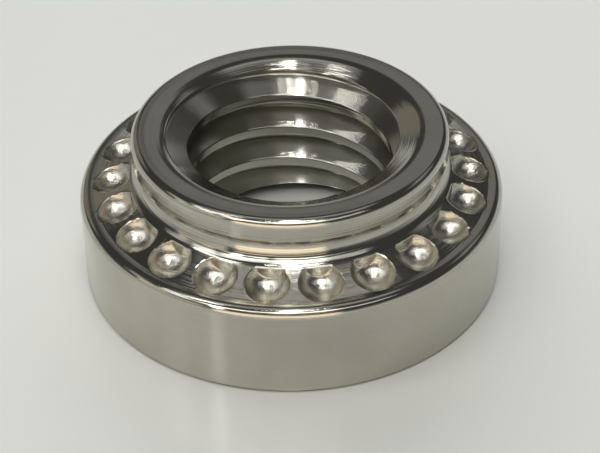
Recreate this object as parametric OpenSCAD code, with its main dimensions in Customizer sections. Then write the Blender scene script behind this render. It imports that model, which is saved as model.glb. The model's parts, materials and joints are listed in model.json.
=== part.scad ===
// Self-clinching nut with an M5 thread, turned from one bar.
// The nut stands on the face of its body, with the shank up. The origin is the centre of
// that face, and the thread's axis is Z. All sizes are in millimetres.

/* [Thread] */
// Nominal diameter of the thread
thread_d = 5; // [4:0.5:8]
// Pitch of the thread
thread_pitch = 0.8; // [0.5:0.05:1.25]
// Included angle of the countersinks at both ends, in degrees
countersink_angle = 120; // [100:5:130]
// How far the countersink in the shank opens past the thread, on the radius
shank_countersink = 0.15; // [0.1:0.01:0.25]
// How far the countersink in the body opens past the thread, on the radius
body_countersink = 0.2; // [0.1:0.01:0.5]

/* [Shank] */
// Wall of the shank, from the nominal thread to its outside
shank_wall = 0.69; // [0.66:0.01:1.2]
// Height of the shank above the shoulder that meets the sheet
shank_h = 1.27; // [1:0.01:2]
// Radius of the shank's outer edge
lip_round = 0.17; // [0.05:0.01:0.2]
// Radius of the soft bend between the shank's end and its countersink
mouth_round = 0.45; // [0.05:0.05:0.6]

/* [Body] */
// Width of the shoulder, from the shank to the rim of the body
shoulder_w = 1.11; // [0.95:0.01:2]
// Height of the body
body_h = 2; // [1.2:0.05:4]
// Radius of the edge between the shoulder and the side
rim_round = 0.19; // [0.05:0.01:0.22]
// Radius of the edge between the side and the lower face
foot_round = 0.1; // [0.05:0.01:0.3]

/* [Clinching groove] */
// Depth of the groove, into the side of the shank
groove_depth = 0.15; // [0.08:0.01:0.25]
// Height of the groove's straight upper flank, which holds the sheet
groove_flank_h = 0.14; // [0.08:0.01:0.2]
// Height of the groove's curved lower side
groove_curve_h = 0.4; // [0.3:0.01:0.5]

/* [Clinching ring] */
// Height of the ring above the shoulder
ring_h = 0.25; // [0.15:0.01:0.3]
// Distance from the side of the shank to the wall that the pockets start from
ring_gap = 0.1; // [0.06:0.01:0.2]
// Width of the plain shoulder, from the foot of the ring to the rim
plain_shoulder = 0.29; // [0.24:0.01:0.5]
// Number of pockets round the ring
pockets = 22; // [16:1:28]
// Depth of each pocket below the shoulder
pocket_depth = 0.18; // [0.1:0.01:0.25]
// How far the pockets run out past the foot of the ring, onto the plain shoulder
pocket_runout = 0.02; // [0.01:0.01:0.05]
// Width of the rib between two pockets, halfway along them
rib_w = 0.18; // [0.1:0.01:0.3]
// Turn of the first pocket about the axis, in degrees
pocket_turn = 246; // [0:1:359]

/* [Hidden] */
$fn = 96;
eps = 0.01;

// Heights of the shoulder and of the shank's end above the lower face
shoulder_z = body_h;
top_z = body_h + shank_h;

// Radii, worked outwards from the thread. An internal thread's crests stand 5/8 of a sharp
// thread's height inside the nominal diameter, which leaves the minor diameter.
thread_r = thread_d / 2;
minor_r = thread_r - 5 / 8 * thread_pitch * cos(30);
mouth_r = thread_r + shank_countersink;
foot_mouth_r = thread_r + body_countersink;
shank_r = thread_r + shank_wall;
groove_r = shank_r - groove_depth;
body_r = shank_r + shoulder_w;
ring_in_r = shank_r + ring_gap;
ring_out_r = body_r - plain_shoulder;

// Height that a countersink rises over a step of the radius
function countersink_rise(step) = step / tan(countersink_angle / 2);
// Radius of the arc that has this half chord and this rise
function arc_radius(half_chord, rise) = (half_chord * half_chord + rise * rise) / (2 * rise);

thread_top_z = top_z - countersink_rise(mouth_r - minor_r);
thread_foot_z = countersink_rise(foot_mouth_r - minor_r);

// The groove's lower side is an arc that leaves the groove's floor upright and ends on the
// inner edge of the ring
ring_top_z = shoulder_z + ring_h;
groove_floor_z = ring_top_z + groove_curve_h;
groove_curve_r = arc_radius(groove_curve_h, ring_in_r - groove_r);

// Each pocket is the hollow of a ball. Halfway along the ring it is as wide as the gap
// between two ribs, and its outer end runs out onto the plain shoulder.
ring_mid_r = (ring_in_r + ring_out_r) / 2;
pocket_w = 2 * PI * ring_mid_r / pockets - rib_w;
ball_r = arc_radius(pocket_w / 2, pocket_depth + ring_h / 2);
ball_reach = sqrt(2 * ball_r * pocket_depth - pocket_depth * pocket_depth);
ball_x = ring_out_r + pocket_runout - ball_reach;
ball_z = shoulder_z + ball_r - pocket_depth;

// What lies between a corner and its rounded form, with the corner at the origin and the
// metal below and to the left of it. The outline turns down there, by 90 degrees or less.
module corner_waste(radius, turn = 90) {
    setback = radius * tan(turn / 2);
    difference() {
        polygon([
            [-setback, -radius],
            [-setback, eps],
            [eps, eps],
            [setback * cos(turn) + eps * sin(turn), eps * cos(turn) - setback * sin(turn)]
        ]);
        translate([-setback, -radius]) circle(radius);
    }
}

// Half section of the body, the shank and the ring, before the edges are rounded
module plain_section() {
    polygon([
        [minor_r, thread_foot_z],
        [foot_mouth_r, 0],
        [body_r, 0],
        [body_r, shoulder_z],
        [ring_out_r, shoulder_z],
        [ring_in_r, ring_top_z],
        [groove_r, groove_floor_z],
        [shank_r, groove_floor_z + groove_flank_h],
        [shank_r, top_z],
        [mouth_r, top_z],
        [minor_r, thread_top_z]
    ]);
}

// Half section with its round edges and the groove's curved side
module nut_section() {
    difference() {
        plain_section();
        translate([groove_r + groove_curve_r, groove_floor_z]) groove_curve();
        translate([shank_r, top_z]) corner_waste(lip_round);
        translate([mouth_r, top_z])
            mirror([1, 0]) corner_waste(mouth_round, 90 - countersink_angle / 2);
        translate([body_r, shoulder_z]) corner_waste(rim_round);
        translate([body_r, 0]) mirror([0, 1]) corner_waste(foot_round);
    }
}

// The part of the groove's arc below its floor, drawn about the arc's centre
module groove_curve() {
    intersection() {
        circle(groove_curve_r);
        translate([-groove_curve_r, -groove_curve_h])
            square([ring_in_r - groove_r, groove_curve_h]);
    }
}

// The hollows of the ring's pockets. They stop at an upright wall round the shank.
module pocket_hollows() {
    difference() {
        for (i = [0 : pockets - 1])
            rotate([0, 0, pocket_turn + i * 360 / pockets])
                translate([ball_x, 0, ball_z])
                    sphere(ball_r);
        cylinder(h = top_z + ball_r, r = ring_in_r);
    }
}

module clinch_nut() {
    color("silver")
        difference() {
            rotate_extrude() nut_section();
            pocket_hollows();
        }
}

clinch_nut();
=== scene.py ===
import json
import math

import bmesh
import bpy
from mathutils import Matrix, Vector


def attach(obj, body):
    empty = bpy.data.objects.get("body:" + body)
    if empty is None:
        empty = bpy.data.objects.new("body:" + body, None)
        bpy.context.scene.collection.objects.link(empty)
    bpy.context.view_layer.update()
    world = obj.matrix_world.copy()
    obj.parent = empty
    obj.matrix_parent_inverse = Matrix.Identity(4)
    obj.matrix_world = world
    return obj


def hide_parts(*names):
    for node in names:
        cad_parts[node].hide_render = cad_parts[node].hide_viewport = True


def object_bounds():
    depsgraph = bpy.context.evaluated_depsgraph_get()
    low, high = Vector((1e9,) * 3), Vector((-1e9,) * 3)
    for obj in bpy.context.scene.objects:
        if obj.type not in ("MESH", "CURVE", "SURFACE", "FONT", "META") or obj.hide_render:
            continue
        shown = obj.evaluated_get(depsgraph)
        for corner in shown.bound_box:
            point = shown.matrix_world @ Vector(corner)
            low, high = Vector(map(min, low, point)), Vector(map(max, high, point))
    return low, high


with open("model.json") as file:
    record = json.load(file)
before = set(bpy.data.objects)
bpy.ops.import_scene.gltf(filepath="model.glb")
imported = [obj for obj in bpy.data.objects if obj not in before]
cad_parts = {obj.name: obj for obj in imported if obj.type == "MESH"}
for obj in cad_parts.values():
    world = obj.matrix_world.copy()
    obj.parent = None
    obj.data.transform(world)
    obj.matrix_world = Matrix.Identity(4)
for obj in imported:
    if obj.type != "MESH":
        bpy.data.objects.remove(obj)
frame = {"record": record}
cad_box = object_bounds()

# ---------------------------------------------------------------------------------------
# The blank. The real nut starts as a disc with a stub on it, turned from a steel bar and
# drilled through. Its section is drawn here as one outline and spun round the axis. It is
# modelled in millimetres, as it would be turned, and brought to metres at the end.

METRES_PER_MM = 0.001
mounts = {mount["name"]: mount for mount in frame["record"]["mounts"]}


def wall_ends(mount):
    """Lowest and highest point of a round mount's wall, in millimetres."""
    middle = mount["pos_m"][2] / METRES_PER_MM
    half = mount["dims"]["length_mm"] / 2
    return middle - half, middle + half


body_r = cad_box[1].x / METRES_PER_MM
top_z = cad_box[1].z / METRES_PER_MM
shoulder_z = 2.0
minor_r = mounts["thread"]["dims"]["r_mm"]
thread_foot_z, thread_top_z = wall_ends(mounts["thread"])
shank_r = mounts["shank"]["dims"]["r_mm"]
land_z = wall_ends(mounts["shank"])[0]

# The mouths of the two countersinks, and the radii of the round edges
foot_mouth_r = 2.7
foot_round = 0.1
rim_round = 0.19
lip_round = 0.17
mouth_r = 2.65
mouth_round = 0.45
# The section turns down by this angle from the shank's end face to its countersink
mouth_turn = math.radians(30)
mouth_setback = mouth_round * math.tan(mouth_turn / 2)

groove_depth = 0.15
groove_flank_h = 0.14
ring_h = 0.25
ring_gap = 0.1
plain_shoulder = 0.29
groove_r = shank_r - groove_depth
groove_floor_z = land_z - groove_flank_h
ring_in_r = shank_r + ring_gap
ring_out_r = body_r - plain_shoulder
ring_top_z = shoulder_z + ring_h
groove_curve_h = groove_floor_z - ring_top_z
groove_curve_w = ring_in_r - groove_r
groove_curve_r = (groove_curve_h**2 + groove_curve_w**2) / (2 * groove_curve_w)

turn_steps = 352
round_steps = 10
groove_steps = 16
# Corners of the outline that are nearer to each other than this are one corner
same_place = 1e-4


def select_points(piece, wanted):
    """Selects the vertices that a test of their place picks, in edit mode."""
    bpy.ops.mesh.select_all(action="DESELECT")
    bpy.ops.mesh.select_mode(type="VERT")
    mesh = bmesh.from_edit_mesh(piece.data)
    for point in mesh.verts:
        point.select = wanted(point.co)
    mesh.select_flush_mode()
    bmesh.update_edit_mesh(piece.data)


def draw_to(here, there):
    """Extrudes the selected vertex from one (radius, height) to the next."""
    step = (there[0] - here[0], 0, there[1] - here[1])
    bpy.ops.mesh.extrude_region_move(TRANSFORM_OT_translate={"value": step})


def draw_outline(corners):
    """Extrudes the selected vertex along a row of corners, each a (radius, height)."""
    for here, there in zip(corners, corners[1:]):
        draw_to(here, there)


def round_corner(piece, r, z, setback):
    """Rounds the outline's corner at a radius and height, starting this far from it."""
    select_points(
        piece, lambda at: abs(at.x - r) < same_place and abs(at.z - z) < same_place
    )
    bpy.ops.mesh.bevel(offset=setback, segments=round_steps, affect="VERTICES")


bpy.ops.object.select_all(action="DESELECT")
bpy.ops.mesh.primitive_plane_add(location=(minor_r, 0, thread_foot_z))
nut = bpy.context.object
nut.name = "nut"
bpy.ops.object.transform_apply(location=True)
bpy.ops.object.mode_set(mode="EDIT")
bpy.ops.mesh.select_all(action="SELECT")
bpy.ops.mesh.merge(type="CENTER")
draw_outline(
    [
        (minor_r, thread_foot_z),
        (foot_mouth_r, 0),
        (body_r, 0),
        (body_r, shoulder_z),
        (ring_out_r, shoulder_z),
        (ring_in_r, ring_top_z),
    ]
)
# The groove's lower side is an arc whose centre is level with the groove's floor
bpy.ops.mesh.spin(
    steps=groove_steps,
    angle=-math.asin(groove_curve_h / groove_curve_r),
    center=(groove_r + groove_curve_r, 0, groove_floor_z),
    axis=(0, 1, 0),
)
draw_outline(
    [
        (groove_r, groove_floor_z),
        (shank_r, land_z),
        (shank_r, top_z),
        (mouth_r, top_z),
        (minor_r, thread_top_z),
        (minor_r, thread_foot_z),
    ]
)
round_corner(nut, body_r, 0, foot_round)
round_corner(nut, body_r, shoulder_z, rim_round)
round_corner(nut, shank_r, top_z, lip_round)
round_corner(nut, mouth_r, top_z, mouth_setback)
bpy.ops.mesh.select_all(action="SELECT")
bpy.ops.mesh.remove_doubles(threshold=same_place)
bpy.ops.mesh.spin(steps=turn_steps, angle=math.tau, center=(0, 0, 0), axis=(0, 0, 1))
bpy.ops.mesh.select_all(action="SELECT")
bpy.ops.mesh.remove_doubles(threshold=same_place)
bpy.ops.mesh.normals_make_consistent(inside=False)
bpy.ops.object.mode_set(mode="OBJECT")


def linear(hex_colour):
    """An sRGB hex colour as linear red, green and blue."""
    channels = [int(hex_colour[i : i + 2], 16) / 255 for i in (1, 3, 5)]
    return [c / 12.92 if c <= 0.04045 else ((c + 0.055) / 1.055) ** 2.4 for c in channels]


def add_node(tree, kind, settings=None, links=None):
    """A node with its inputs and properties set, and its inputs linked."""
    node = tree.nodes.new(kind)
    for name, value in (settings or {}).items():
        if name in node.inputs:
            node.inputs[name].default_value = value
        else:
            setattr(node, name, value)
    for name, source in (links or {}).items():
        tree.links.new(source, node.inputs[name])
    return node


# Free-cutting steel, turned and then plated with bright nickel: a warm white metal. The tip
# of the lathe tool leaves fine rings round the axis, and light spreads across them. Real rings
# are taken to be about 0.02 mm apart, and are drawn three times as coarse to show at all.
ring_spacing = 0.06
smudge_size = 1.2

turned = bpy.data.materials.new("nickel_plated_turned_steel")
turned.use_nodes = True
tree = turned.node_tree
metal = tree.nodes["Principled BSDF"]
metal.inputs["Metallic"].default_value = 1.0
metal.inputs["Anisotropic"].default_value = 0.5
metal.inputs["Anisotropic Rotation"].default_value = 0.25
place = add_node(tree, "ShaderNodeTexCoord")
parts = add_node(tree, "ShaderNodeSeparateXYZ", links={"Vector": place.outputs["Object"]})
flat_place = add_node(
    tree, "ShaderNodeCombineXYZ", links={"X": parts.outputs["X"], "Y": parts.outputs["Y"]}
)
radius = add_node(
    tree,
    "ShaderNodeVectorMath",
    {"operation": "LENGTH"},
    {"Vector": flat_place.outputs["Vector"]},
)
across_rings = add_node(
    tree, "ShaderNodeCombineXYZ", links={"X": radius.outputs["Value"], "Y": parts.outputs["Z"]}
)
ring_marks = add_node(
    tree,
    "ShaderNodeTexNoise",
    {"Scale": 1 / (ring_spacing * METRES_PER_MM), "Detail": 3.0, "Roughness": 0.6},
    {"Vector": across_rings.outputs["Vector"]},
)
ring_relief = add_node(
    tree,
    "ShaderNodeBump",
    {"Strength": 0.12, "Distance": ring_spacing * METRES_PER_MM},
    {"Height": ring_marks.outputs["Fac"]},
)
# Tumbling and handling leave patches that are a little duller and darker than the rest
smudges = add_node(
    tree,
    "ShaderNodeTexNoise",
    {"Scale": 1 / (smudge_size * METRES_PER_MM), "Detail": 4.0, "Roughness": 0.65},
    {"Vector": place.outputs["Object"]},
)
dullness = add_node(
    tree,
    "ShaderNodeMapRange",
    {"From Min": 0.3, "From Max": 0.7, "To Min": 0.08, "To Max": 0.15},
    {"Value": smudges.outputs["Fac"]},
)
tarnish = add_node(
    tree, "ShaderNodeMix", {"data_type": "RGBA"}, {"Factor": smudges.outputs["Fac"]}
)
tarnish.inputs["A"].default_value = (*linear("#c4c2b9"), 1)
tarnish.inputs["B"].default_value = (*linear("#b0aea2"), 1)
round_axis = add_node(tree, "ShaderNodeTangent", {"direction_type": "RADIAL", "axis": "Z"})
tree.links.new(ring_relief.outputs["Normal"], metal.inputs["Normal"])
tree.links.new(dullness.outputs["Result"], metal.inputs["Roughness"])
tree.links.new(tarnish.outputs["Result"], metal.inputs["Base Color"])
tree.links.new(round_axis.outputs["Tangent"], metal.inputs["Tangent"])
nut.data.materials.clear()
nut.data.materials.append(turned)

# ---------------------------------------------------------------------------------------
# The clinching ring's pockets. The real ones are struck into the ring by a die with a row
# of round noses, and they stop at an upright wall round the shank. Each is the hollow of a
# ball here, and the balls are kept out of the shank by a cylinder.

pockets = 22
pocket_turn = math.radians(246)
pocket_depth = 0.18
pocket_runout = 0.02
rib_w = 0.18
pocket_w = math.tau * (ring_in_r + ring_out_r) / 2 / pockets - rib_w
ball_rise = pocket_depth + (ring_top_z - shoulder_z) / 2
ball_r = ((pocket_w / 2) ** 2 + ball_rise**2) / (2 * ball_rise)
ball_reach = math.sqrt(2 * ball_r * pocket_depth - pocket_depth**2)
ball_x = ring_out_r + pocket_runout - ball_reach
ball_z = shoulder_z + ball_r - pocket_depth
ball_segments = 56


def cut(piece, tool):
    """Takes a tool's shape out of a piece, and puts the tool away."""
    bpy.ops.object.select_all(action="DESELECT")
    bpy.context.view_layer.objects.active = piece
    step = piece.modifiers.new("cut", "BOOLEAN")
    step.operation = "DIFFERENCE"
    step.solver = "EXACT"
    step.object = tool
    step.material_mode = "TRANSFER"
    bpy.ops.object.modifier_apply(modifier=step.name)
    bpy.data.objects.remove(tool)


# Nickel-plated steel as struck. A struck face copies the die, which is taken to be blasted, so
# the plating on it is satin and a little uneven, with a grain of a thirtieth of a millimetre.
struck_grain = 0.035

struck = bpy.data.materials.new("nickel_plated_struck_steel")
struck.use_nodes = True
tree = struck.node_tree
metal = tree.nodes["Principled BSDF"]
metal.inputs["Base Color"].default_value = (*linear("#c2bfb4"), 1)
metal.inputs["Metallic"].default_value = 1.0
place = add_node(tree, "ShaderNodeTexCoord")
grain = add_node(
    tree,
    "ShaderNodeTexNoise",
    {"Scale": 1 / (struck_grain * METRES_PER_MM), "Detail": 2.0},
    {"Vector": place.outputs["Object"]},
)
grain_relief = add_node(
    tree,
    "ShaderNodeBump",
    {"Strength": 0.2, "Distance": struck_grain * METRES_PER_MM},
    {"Height": grain.outputs["Fac"]},
)
satin = add_node(
    tree,
    "ShaderNodeMapRange",
    {"To Min": 0.18, "To Max": 0.28},
    {"Value": grain.outputs["Fac"]},
)
tree.links.new(grain_relief.outputs["Normal"], metal.inputs["Normal"])
tree.links.new(satin.outputs["Result"], metal.inputs["Roughness"])

bpy.ops.object.select_all(action="DESELECT")
bpy.ops.mesh.primitive_uv_sphere_add(
    segments=ball_segments,
    ring_count=ball_segments // 2,
    radius=ball_r,
    location=(ball_x, 0, ball_z),
)
noses = bpy.context.object
noses.name = "die_noses"
noses.data.materials.append(struck)
bpy.ops.object.transform_apply(location=True)
bpy.ops.object.mode_set(mode="EDIT")
bpy.ops.mesh.select_all(action="SELECT")
bpy.ops.transform.rotate(value=-pocket_turn, orient_axis="Z", center_override=(0, 0, 0))
for _ in range(pockets - 1):
    bpy.ops.mesh.duplicate()
    bpy.ops.transform.rotate(
        value=-math.tau / pockets, orient_axis="Z", center_override=(0, 0, 0)
    )
bpy.ops.object.mode_set(mode="OBJECT")

bpy.ops.object.select_all(action="DESELECT")
bpy.ops.mesh.primitive_cylinder_add(
    vertices=turn_steps, radius=ring_in_r, depth=2 * top_z, location=(0, 0, top_z)
)
keep_out = bpy.context.object
bpy.ops.object.transform_apply(location=True)
cut(noses, keep_out)
cut(nut, noses)

# ---------------------------------------------------------------------------------------
# The thread, M5 x 0.8, right-handed. The real one is cut by a tap, so it is cut here by a
# helical ridge with the tap's teeth: 60 degrees between its flanks, and a flat at its tip.

thread_r = 2.5
pitch = 0.8
flank = math.tan(math.radians(30))
tip_w = pitch / 8
# How far the foot of the ridge lies inside the bore's wall, clear of it
tap_overlap = 0.1
tap_in_r = minor_r - tap_overlap
base_w = tip_w + 2 * (thread_r - tap_in_r) * flank
tap_turns = 6
tap_steps = 160
# Height of a tooth of the thread at the back of the bore
crest_z_at_back = 1.77
# The ridge cuts midway between two teeth. It starts on the +X side, a quarter of a turn
# before the back, and two turns lower down.
tap_foot_z = crest_z_at_back - pitch / 2 - pitch / 4 - 2 * pitch

# Nickel-plated steel as tapped. A tap leaves its flanks smooth, with a slow waviness where it
# dragged and let go, and light spreads across the direction in which it turned.
drag_size = 0.3

tapped = bpy.data.materials.new("nickel_plated_tapped_steel")
tapped.use_nodes = True
tree = tapped.node_tree
metal = tree.nodes["Principled BSDF"]
metal.inputs["Base Color"].default_value = (*linear("#bab8ae"), 1)
metal.inputs["Metallic"].default_value = 1.0
metal.inputs["Anisotropic"].default_value = 0.96
metal.inputs["Anisotropic Rotation"].default_value = 0.25
place = add_node(tree, "ShaderNodeTexCoord")
drag = add_node(
    tree,
    "ShaderNodeTexNoise",
    {"Scale": 1 / (drag_size * METRES_PER_MM), "Detail": 3.0, "Roughness": 0.6},
    {"Vector": place.outputs["Object"]},
)
drag_relief = add_node(
    tree,
    "ShaderNodeBump",
    {"Strength": 0.012, "Distance": drag_size * METRES_PER_MM},
    {"Height": drag.outputs["Fac"]},
)
shine = add_node(
    tree,
    "ShaderNodeMapRange",
    {"To Min": 0.18, "To Max": 0.25},
    {"Value": drag.outputs["Fac"]},
)
along_thread = add_node(tree, "ShaderNodeTangent", {"direction_type": "RADIAL", "axis": "Z"})
tree.links.new(along_thread.outputs["Tangent"], metal.inputs["Tangent"])
tree.links.new(drag_relief.outputs["Normal"], metal.inputs["Normal"])
tree.links.new(shine.outputs["Result"], metal.inputs["Roughness"])

bpy.ops.object.select_all(action="DESELECT")
bpy.ops.mesh.primitive_plane_add(location=(tap_in_r, 0, tap_foot_z - base_w / 2))
tap = bpy.context.object
tap.name = "tap"
tap.data.materials.append(tapped)
bpy.ops.object.transform_apply(location=True)
bpy.ops.object.mode_set(mode="EDIT")
bpy.ops.mesh.select_all(action="SELECT")
bpy.ops.mesh.merge(type="CENTER")
draw_outline(
    [
        (tap_in_r, tap_foot_z - base_w / 2),
        (thread_r, tap_foot_z - tip_w / 2),
        (thread_r, tap_foot_z + tip_w / 2),
        (tap_in_r, tap_foot_z + base_w / 2),
        (tap_in_r, tap_foot_z - base_w / 2),
    ]
)
bpy.ops.mesh.select_all(action="SELECT")
bpy.ops.mesh.remove_doubles(threshold=same_place)
bpy.ops.object.mode_set(mode="OBJECT")
helix = tap.modifiers.new("helix", "SCREW")
helix.axis = "Z"
helix.angle = math.tau
helix.screw_offset = pitch
helix.iterations = tap_turns
helix.steps = tap_steps
helix.render_steps = tap_steps
bpy.ops.object.modifier_apply(modifier=helix.name)
bpy.ops.object.mode_set(mode="EDIT")
bpy.ops.mesh.select_all(action="DESELECT")
bpy.ops.mesh.select_mode(type="EDGE")
bpy.ops.mesh.select_non_manifold()
bpy.ops.mesh.fill_holes(sides=0)
bpy.ops.mesh.select_all(action="SELECT")
bpy.ops.mesh.normals_make_consistent(inside=False)
bpy.ops.object.mode_set(mode="OBJECT")
cut(nut, tap)

# ---------------------------------------------------------------------------------------
# Deburring. The real nuts are tumbled with ceramic stones after they are turned and struck,
# which takes the burr off every sharp edge and leaves it very slightly round.

deburr_r = 0.02
deburr_steps = 2
# Edges that turn by more than this are sharp enough to be rounded
sharp_turn = math.radians(30)
# Faces that meet at less than this are shaded as one smooth face
smooth_turn = math.radians(12)
# The cuts leave corners nearer to each other than this, which are merged before the rounding
sliver_w = 0.004

bpy.ops.object.select_all(action="DESELECT")
nut.select_set(True)
bpy.context.view_layer.objects.active = nut
bpy.ops.object.mode_set(mode="EDIT")
bpy.ops.mesh.select_all(action="SELECT")
bpy.ops.mesh.remove_doubles(threshold=sliver_w)
bpy.ops.mesh.dissolve_degenerate(threshold=sliver_w)
bpy.ops.object.mode_set(mode="OBJECT")
deburr = nut.modifiers.new("deburr", "BEVEL")
deburr.width = deburr_r
deburr.segments = deburr_steps
deburr.limit_method = "ANGLE"
deburr.angle_limit = sharp_turn
deburr.use_clamp_overlap = False
deburr.miter_outer = "MITER_ARC"
bpy.ops.object.modifier_apply(modifier=deburr.name)
nut.scale = (METRES_PER_MM,) * 3
bpy.ops.object.transform_apply(scale=True)
bpy.ops.object.shade_smooth_by_angle(angle=smooth_turn)
# The wide faces stay flat or straight right up to their rounded edges
weighting = nut.modifiers.new("weighting", "WEIGHTED_NORMAL")
weighting.keep_sharp = True
weighting.weight = 100
bpy.ops.object.modifier_apply(modifier=weighting.name)

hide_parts("clinch_nut")
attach(nut, "root")

# ---------------------------------------------------------------------------------------
# The table under the nut, a board with a pale satin laminate on it, wide enough to reach past
# the edges of the view. It isn't part of the nut.

TABLE_WIDTH = 0.5
table_colour = linear("#cfd0cb")
bpy.ops.object.select_all(action="DESELECT")
bpy.ops.mesh.primitive_plane_add(size=TABLE_WIDTH, location=(0, 0, 0))
table = bpy.context.object
table.name = "table"
laminate = bpy.data.materials.new("satin_laminate")
laminate.use_nodes = True
top = laminate.node_tree.nodes["Principled BSDF"]
top.inputs["Base Color"].default_value = (*table_colour, 1)
top.inputs["Roughness"].default_value = 0.12
table.data.materials.append(laminate)

# ---------------------------------------------------------------------------------------
# The light: a plain studio, with soft boxes round the nut and a room that is pale at the
# horizon and dim above

LAMP_DISTANCE = 0.6
# An area lamp of one square metre shines with a brightness of 1 at this power
WATTS_PER_BRIGHTNESS = math.pi
white, cream, amber = "#ffffff", "#fff2df", "#ffe9c8"
# Each lamp's azimuth, elevation, width and height in degrees, as the nut sees it, its
# brightness, where 1 is a white card in full light, and its colour
lamps = {
    "spot_main": (266, 86, 4, 4, 14, white),
    "spot_right": (294, 78, 2, 2, 60, white),
    "spot_left": (233, 77, 1.5, 1.5, 40, white),
    "spot_far_right": (311, 76, 1.5, 1.5, 40, white),
    "strip_front": (266, 68, 2.5, 30, 18, white),
    "strip_side": (181, 62, 1.5, 22, 14, white),
    "box_front": (275, 54, 26, 18, 3.2, white),
    "box_front_left": (232, 50, 26, 12, 3.0, white),
    "box_front_right": (312, 51, 26, 10, 1.3, white),
    "box_left": (200, 46, 14, 16, 2.2, white),
    "box_side_left": (180, 36, 16, 12, 0.7, white),
    "window_left": (228, 40, 5, 9, 7, white),
    "card_front_low": (262, 10, 60, 24, 1.3, amber),
    "card_left_low": (205, 22, 36, 14, 0.9, cream),
    "card_top": (100, 78, 44, 16, 0.45, white),
    "card_back": (82, 36, 30, 20, 0.19, white),
    "card_back_left": (125, 26, 26, 20, 0.22, cream),
    "card_back_right": (32, 42, 20, 12, 0.26, white),
    "fill_top": (90, 88, 30, 30, 1.7, white),
    "fill_back": (100, 28, 100, 30, 3.6, white),
}


def add_lamp(name, azimuth, elevation, width, height, brightness, colour):
    """A soft box that looks at the nut from a direction, with its size given as an angle."""
    light = bpy.data.lights.new(name, "AREA")
    light.shape = "RECTANGLE"
    light.size = 2 * LAMP_DISTANCE * math.tan(math.radians(width) / 2)
    light.size_y = 2 * LAMP_DISTANCE * math.tan(math.radians(height) / 2)
    light.color = linear(colour)
    light.energy = brightness * WATTS_PER_BRIGHTNESS * light.size * light.size_y
    lamp = bpy.data.objects.new(name, light)
    bpy.context.collection.objects.link(lamp)
    turn, rise = math.radians(azimuth), math.radians(elevation)
    level = math.cos(rise)
    out = Vector((level * math.cos(turn), level * math.sin(turn), math.sin(rise)))
    lamp.location = LAMP_DISTANCE * out
    lamp.rotation_euler = (-out).to_track_quat("-Z", "Y").to_euler()
    lamp.visible_camera = False
    # The two fills light the table, and don't show in the metal
    lamp.visible_glossy = not name.startswith("fill")


for name, settings in lamps.items():
    add_lamp(name, *settings)

# The room is pale up to the first height above the horizon, and dim from the second
pale_up_to = math.radians(5)
dim_from = math.radians(14)
world = bpy.data.worlds.new("studio")
bpy.context.scene.world = world
world.use_nodes = True
tree = world.node_tree
sky = tree.nodes["Background"]
direction = add_node(tree, "ShaderNodeTexCoord")
parts = add_node(
    tree, "ShaderNodeSeparateXYZ", links={"Vector": direction.outputs["Generated"]}
)
height = add_node(
    tree,
    "ShaderNodeMapRange",
    {"From Min": math.sin(pale_up_to), "From Max": math.sin(dim_from)},
    {"Value": parts.outputs["Z"]},
)
shade = add_node(
    tree, "ShaderNodeMix", {"data_type": "RGBA"}, {"Factor": height.outputs["Result"]}
)
shade.inputs["A"].default_value = (*linear("#d2d3d2"), 1)
shade.inputs["B"].default_value = (*linear("#474746"), 1)
tree.links.new(shade.outputs["Result"], sky.inputs["Color"])

# ---------------------------------------------------------------------------------------
# The camera. It looks down on the nut from in front through a long lens, with a slight roll,
# and its distances are in metres from the foot of the nut's axis.

elevation = math.radians(37.14)
roll = math.radians(1.19)
distance = 39.54 * METRES_PER_MM
aim = Vector((0.165, -0.597, 1.212)) * METRES_PER_MM

lens = bpy.data.cameras.new("camera")
lens.lens = 116.4
lens.clip_start = 0.001
lens.clip_end = 10
camera = bpy.data.objects.new("camera", lens)
bpy.context.collection.objects.link(camera)
camera.location = aim + distance * Vector((0, -math.cos(elevation), math.sin(elevation)))
camera.rotation_mode = "ZYX"
camera.rotation_euler = (math.pi / 2 - elevation, 0, -roll)

scene = bpy.context.scene
scene.camera = camera
scene.view_settings.view_transform = "Standard"
